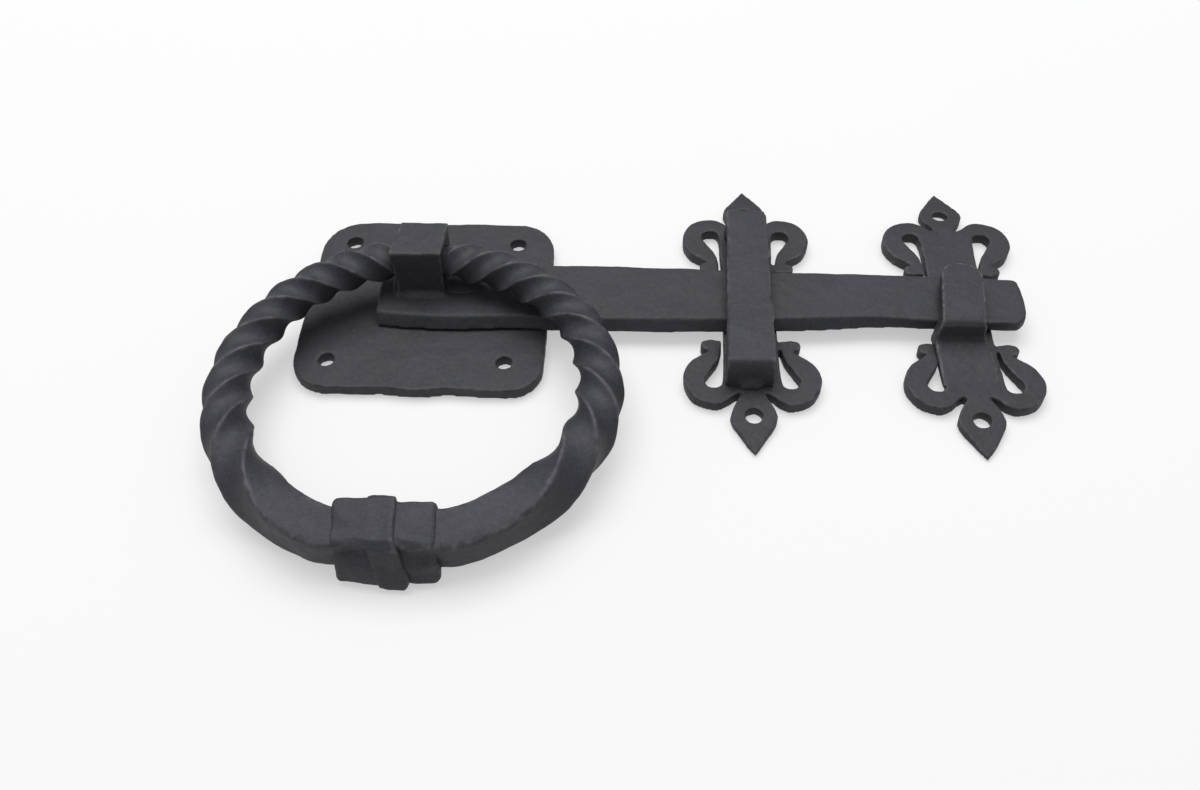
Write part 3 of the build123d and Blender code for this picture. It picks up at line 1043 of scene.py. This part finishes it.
class LATCH_OT_collar(bpy.types.Operator):
    """The collar wrapped round the ring's two ends, and the rib hammered across its middle"""

    bl_idname = "latch.collar"
    bl_label = "Collar and band"

    def execute(self, context):
        # along, reach inward, reach outward at the top and at the bottom, height of the top
        wrap = (
            (-16.2, 8.6, 7.2, 10.4, 8.0),
            (-15.2, 9.3, 7.6, 12.0, 8.7),
            (-9.5, 9.4, 7.3, 12.9, 9.0),
            (-4.0, 9.6, 8.0, 13.2, 9.4),
            (3.2, 9.8, 8.5, 12.9, 9.6),
            (4.4, 9.3, 7.1, 11.8, 8.4),
            (9.8, 9.2, 7.8, 12.3, 8.6),
            (15.2, 9.0, 8.0, 11.9, 8.5),
            (16.7, 8.6, 7.4, 10.2, 8.0),
        )
        slant, wave_depth, wave_pace = 0.07, 0.9, 1.7  # the wrap slants, and its front is uneven
        cage = bmesh.new()
        sections = []
        for along, inward, front_top, front_bottom, top in wrap:
            ragged = wave_depth * sin(along * wave_pace)
            sections.append(
                [
                    collar_point(along + slant * side, side, up)
                    for side, up in (
                        (-inward + 0.4, -6.5),
                        (-inward, 0),
                        (-inward + 0.1, top - 1.4),
                        (-inward + 1.3, top),
                        (0, top + 0.1),
                        (front_top - 2.2, top - 0.4 + 0.3 * ragged),
                        (front_top, top - 1.6 + ragged),
                        (front_top - 0.2, top - 4.6 + ragged),
                        (0.35 * front_top + 0.65 * front_bottom, -0.5 + ragged),
                        (front_bottom, -7.4),
                        (front_bottom - 1.3, -9.1),
                        (-inward + 2.6, -9.0),
                    )
                ]
            )
        loft(cage, sections, ends=True)
        material = blackened_iron("collar iron", iron_colour(1.0), ridge_wear_and_highlight=0.6)
        piece = new_piece("hammered_collar", cage, "ring_collar", "handle", material)
        forge(piece, softening=0.7, blows=1.9)

        # outward, up, where the rib starts and stops along the collar, how proud its start stands
        rib = (
            (-10.2, -5.0, -6.2, 3.2, 0.95),
            (-10.7, 0.0, -6.2, 3.2, 0.95),
            (-10.7, 7.9, -6.0, 3.4, 0.95),
            (-8.9, 9.7, -6.0, 3.6, 0.92),
            (0.0, 9.9, -5.4, 3.9, 0.88),
            (6.4, 9.5, -4.8, 4.4, 0.88),
            (9.2, 7.2, -4.2, 5.2, 0.9),
            (11.3, 1.0, -3.2, 6.6, 0.92),
            (13.8, -5.4, -2.4, 8.2, 0.94),
            (14.6, -8.6, -1.4, 7.2, 0.95),
            (10.0, -9.7, -2.2, 6.0, 0.95),
            (-8.0, -9.6, -5.6, 3.6, 0.95),
        )
        inner = 0.72  # the rib's hidden side lies this share of the way out
        cage = bmesh.new()
        sections = []
        for outward, up, start, stop, proud in rib:
            sections.append(
                (
                    collar_point(start - 0.6, outward * inner, up * inner),
                    collar_point(start, outward * proud, up * proud),
                    collar_point(start + 1.6, outward * (proud + 1) / 2, up * (proud + 1) / 2),
                    collar_point(stop - 1.2, outward, up),
                    collar_point(stop, outward * 0.96, up * 0.97),
                    collar_point(stop + 0.3, outward * inner, up * inner),
                )
            )
        loft(cage, sections)
        piece = new_piece("hammered_band", cage, "collar_band", "handle", material)
        forge(piece, softening=0.5, blows=1.3)
        return {"FINISHED"}


# ---------------------------------------------------------------- washers
class LATCH_OT_washers(bpy.types.Operator):
    """The plain washers on the tenon, kept as they are in the frame"""

    bl_idname = "latch.washers"
    bl_label = "Washers"

    def execute(self, context):
        steel = tuple(context.scene.latch_finish.steel)
        material = blackened_iron("washer steel", steel, grain=0.5, ridge_wear_and_highlight=0.4, gloss=0.12)
        for node in ("pivot_washer", "rivet_washer"):
            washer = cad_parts[node]
            washer.data.materials.clear()
            washer.data.materials.append(material)
        return {"FINISHED"}


# ---------------------------------------------------------------- stage
FLOOR_REACH = 12.0  # metres from the middle of the floor to its edges
FLOOR_DROP = 0.42  # just under the lowest point of the frame
WINDOW_SIZE, WINDOW_PLACE, WINDOW_AIM = (2.2, 1.6), (-0.1, 0.75, 2.05), (0.09, -0.02, 0)  # metres
CAMERA_YAW, CAMERA_PITCH, CAMERA_ROLL = radians(-3.56), radians(49.95), radians(1.58)
CAMERA_PLACE, CAMERA_LENS, CAMERA_SENSOR = (83.9, -313.65, 324.7), 35.93, 36.0


def lay_floor(colour, glow):
    """The pale floor that the latch lies on."""
    cage = bmesh.new()
    bmesh.ops.create_grid(cage, x_segments=8, y_segments=8, size=FLOOR_REACH)
    mesh = bpy.data.meshes.new("floor")
    cage.to_mesh(mesh)
    cage.free()
    floor = bpy.data.objects.new("floor", mesh)
    floor.location.z = -FLOOR_DROP * MM
    bpy.context.scene.collection.objects.link(floor)
    mesh.materials.append(pale_floor("pale floor", colour, glow))


def light_room(strength):
    """Even light from all round, dim at the walls and bright at the ceiling."""
    world = bpy.data.worlds.new("soft room")
    world.use_nodes = True
    tree = world.node_tree
    room = tree.nodes["Background"]
    room.label = "Room light"
    place = tree.nodes.new("ShaderNodeTexCoord")
    place.label = "Direction in the room"
    place.location = (-900, 300)
    parts = tree.nodes.new("ShaderNodeSeparateXYZ")
    parts.label = "Height of the direction"
    parts.location = (-700, 300)
    height = tree.nodes.new("ShaderNodeMapRange")
    height.label = "Dim walls, bright ceiling"
    height.location = (-450, 300)
    height.inputs["From Min"].default_value = 0.0
    height.inputs["From Max"].default_value = 0.9
    height.inputs["To Min"].default_value = 0.12 * strength
    height.inputs["To Max"].default_value = 1.05 * strength
    room.inputs["Color"].default_value = (0.985, 0.99, 1.0, 1)
    tree.links.new(place.outputs["Generated"], parts.inputs["Vector"])
    tree.links.new(parts.outputs["Z"], height.inputs["Value"])
    tree.links.new(height.outputs["Result"], room.inputs["Strength"])
    bpy.context.scene.world = world


def hang_window(power):
    """One broad soft light, high behind the latch."""
    light = bpy.data.lights.new("window", "AREA")
    light.shape = "RECTANGLE"
    light.size, light.size_y = WINDOW_SIZE
    light.energy = power
    window = bpy.data.objects.new("window", light)
    window.location = WINDOW_PLACE
    aim = Vector(WINDOW_AIM) - window.location
    window.rotation_euler = aim.to_track_quat("-Z", "Y").to_euler()
    bpy.context.scene.collection.objects.link(window)


def set_camera():
    """A camera in front of the latch that looks half down on it."""
    yaw, pitch, roll = CAMERA_YAW, CAMERA_PITCH, CAMERA_ROLL
    ahead = Vector((sin(yaw) * cos(pitch), cos(yaw) * cos(pitch), -sin(pitch)))
    level = Vector((cos(yaw), -sin(yaw), 0))
    down = ahead.cross(level)
    across = cos(roll) * level + sin(roll) * down
    upward = sin(roll) * level - cos(roll) * down
    camera = bpy.data.cameras.new("camera")
    camera.lens = CAMERA_LENS
    camera.sensor_width = CAMERA_SENSOR
    camera.sensor_fit = "HORIZONTAL"
    camera.clip_start = 0.01
    viewer = bpy.data.objects.new("camera", camera)
    turn = Matrix((across, upward, -ahead)).transposed().to_4x4()
    viewer.matrix_world = Matrix.Translation(Vector(CAMERA_PLACE) * MM) @ turn
    bpy.context.scene.collection.objects.link(viewer)
    bpy.context.scene.camera = viewer


class LATCH_OT_stage(bpy.types.Operator):
    """The pale floor, the soft light and the camera"""

    bl_idname = "latch.stage"
    bl_label = "Stage"

    def execute(self, context):
        settings = context.scene.latch_studio
        lay_floor(tuple(settings.floor), settings.floor_glow)
        light_room(settings.sky)
        hang_window(settings.window)
        set_camera()
        context.scene.view_settings.view_transform = "Standard"
        return {"FINISHED"}


# ---------------------------------------------------------------- panel and registering
PIECE_OPERATORS = (
    LATCH_OT_backplate,
    LATCH_OT_fleur_plates,
    LATCH_OT_latch_bar,
    LATCH_OT_ring_boss,
    LATCH_OT_guide_bridge,
    LATCH_OT_keeper_hook,
    LATCH_OT_ring,
    LATCH_OT_collar,
    LATCH_OT_washers,
    LATCH_OT_stage,
)
SETTINGS = (
    ("latch_forging", LatchForging),
    ("latch_ring", LatchRing),
    ("latch_finish", LatchFinish),
    ("latch_studio", LatchStudio),
)


class LATCH_PT_pieces(bpy.types.Panel):
    """Lists the pieces of the latch"""

    bl_label = "Ring latch"
    bl_idname = "LATCH_PT_pieces"
    bl_space_type = "VIEW_3D"
    bl_region_type = "UI"
    bl_category = "Ring latch"

    def draw(self, context):
        for name, group in SETTINGS:
            settings = getattr(context.scene, name)
            for field in group.__annotations__:
                self.layout.prop(settings, field)
        for operator in PIECE_OPERATORS:
            self.layout.operator(operator.bl_idname)


def register():
    for name, group in SETTINGS:
        bpy.utils.register_class(group)
        setattr(bpy.types.Scene, name, PointerProperty(type=group))
    for operator in PIECE_OPERATORS:
        bpy.utils.register_class(operator)
    bpy.utils.register_class(LATCH_PT_pieces)


def unregister():
    bpy.utils.unregister_class(LATCH_PT_pieces)
    for operator in reversed(PIECE_OPERATORS):
        bpy.utils.unregister_class(operator)
    for name, group in reversed(SETTINGS):
        delattr(bpy.types.Scene, name)
        bpy.utils.unregister_class(group)


def main():
    register()
    for operator in PIECE_OPERATORS:
        piece_maker = operator.bl_idname.split(".")[1]
        getattr(bpy.ops.latch, piece_maker)()


if __name__ == "__main__":
    main()
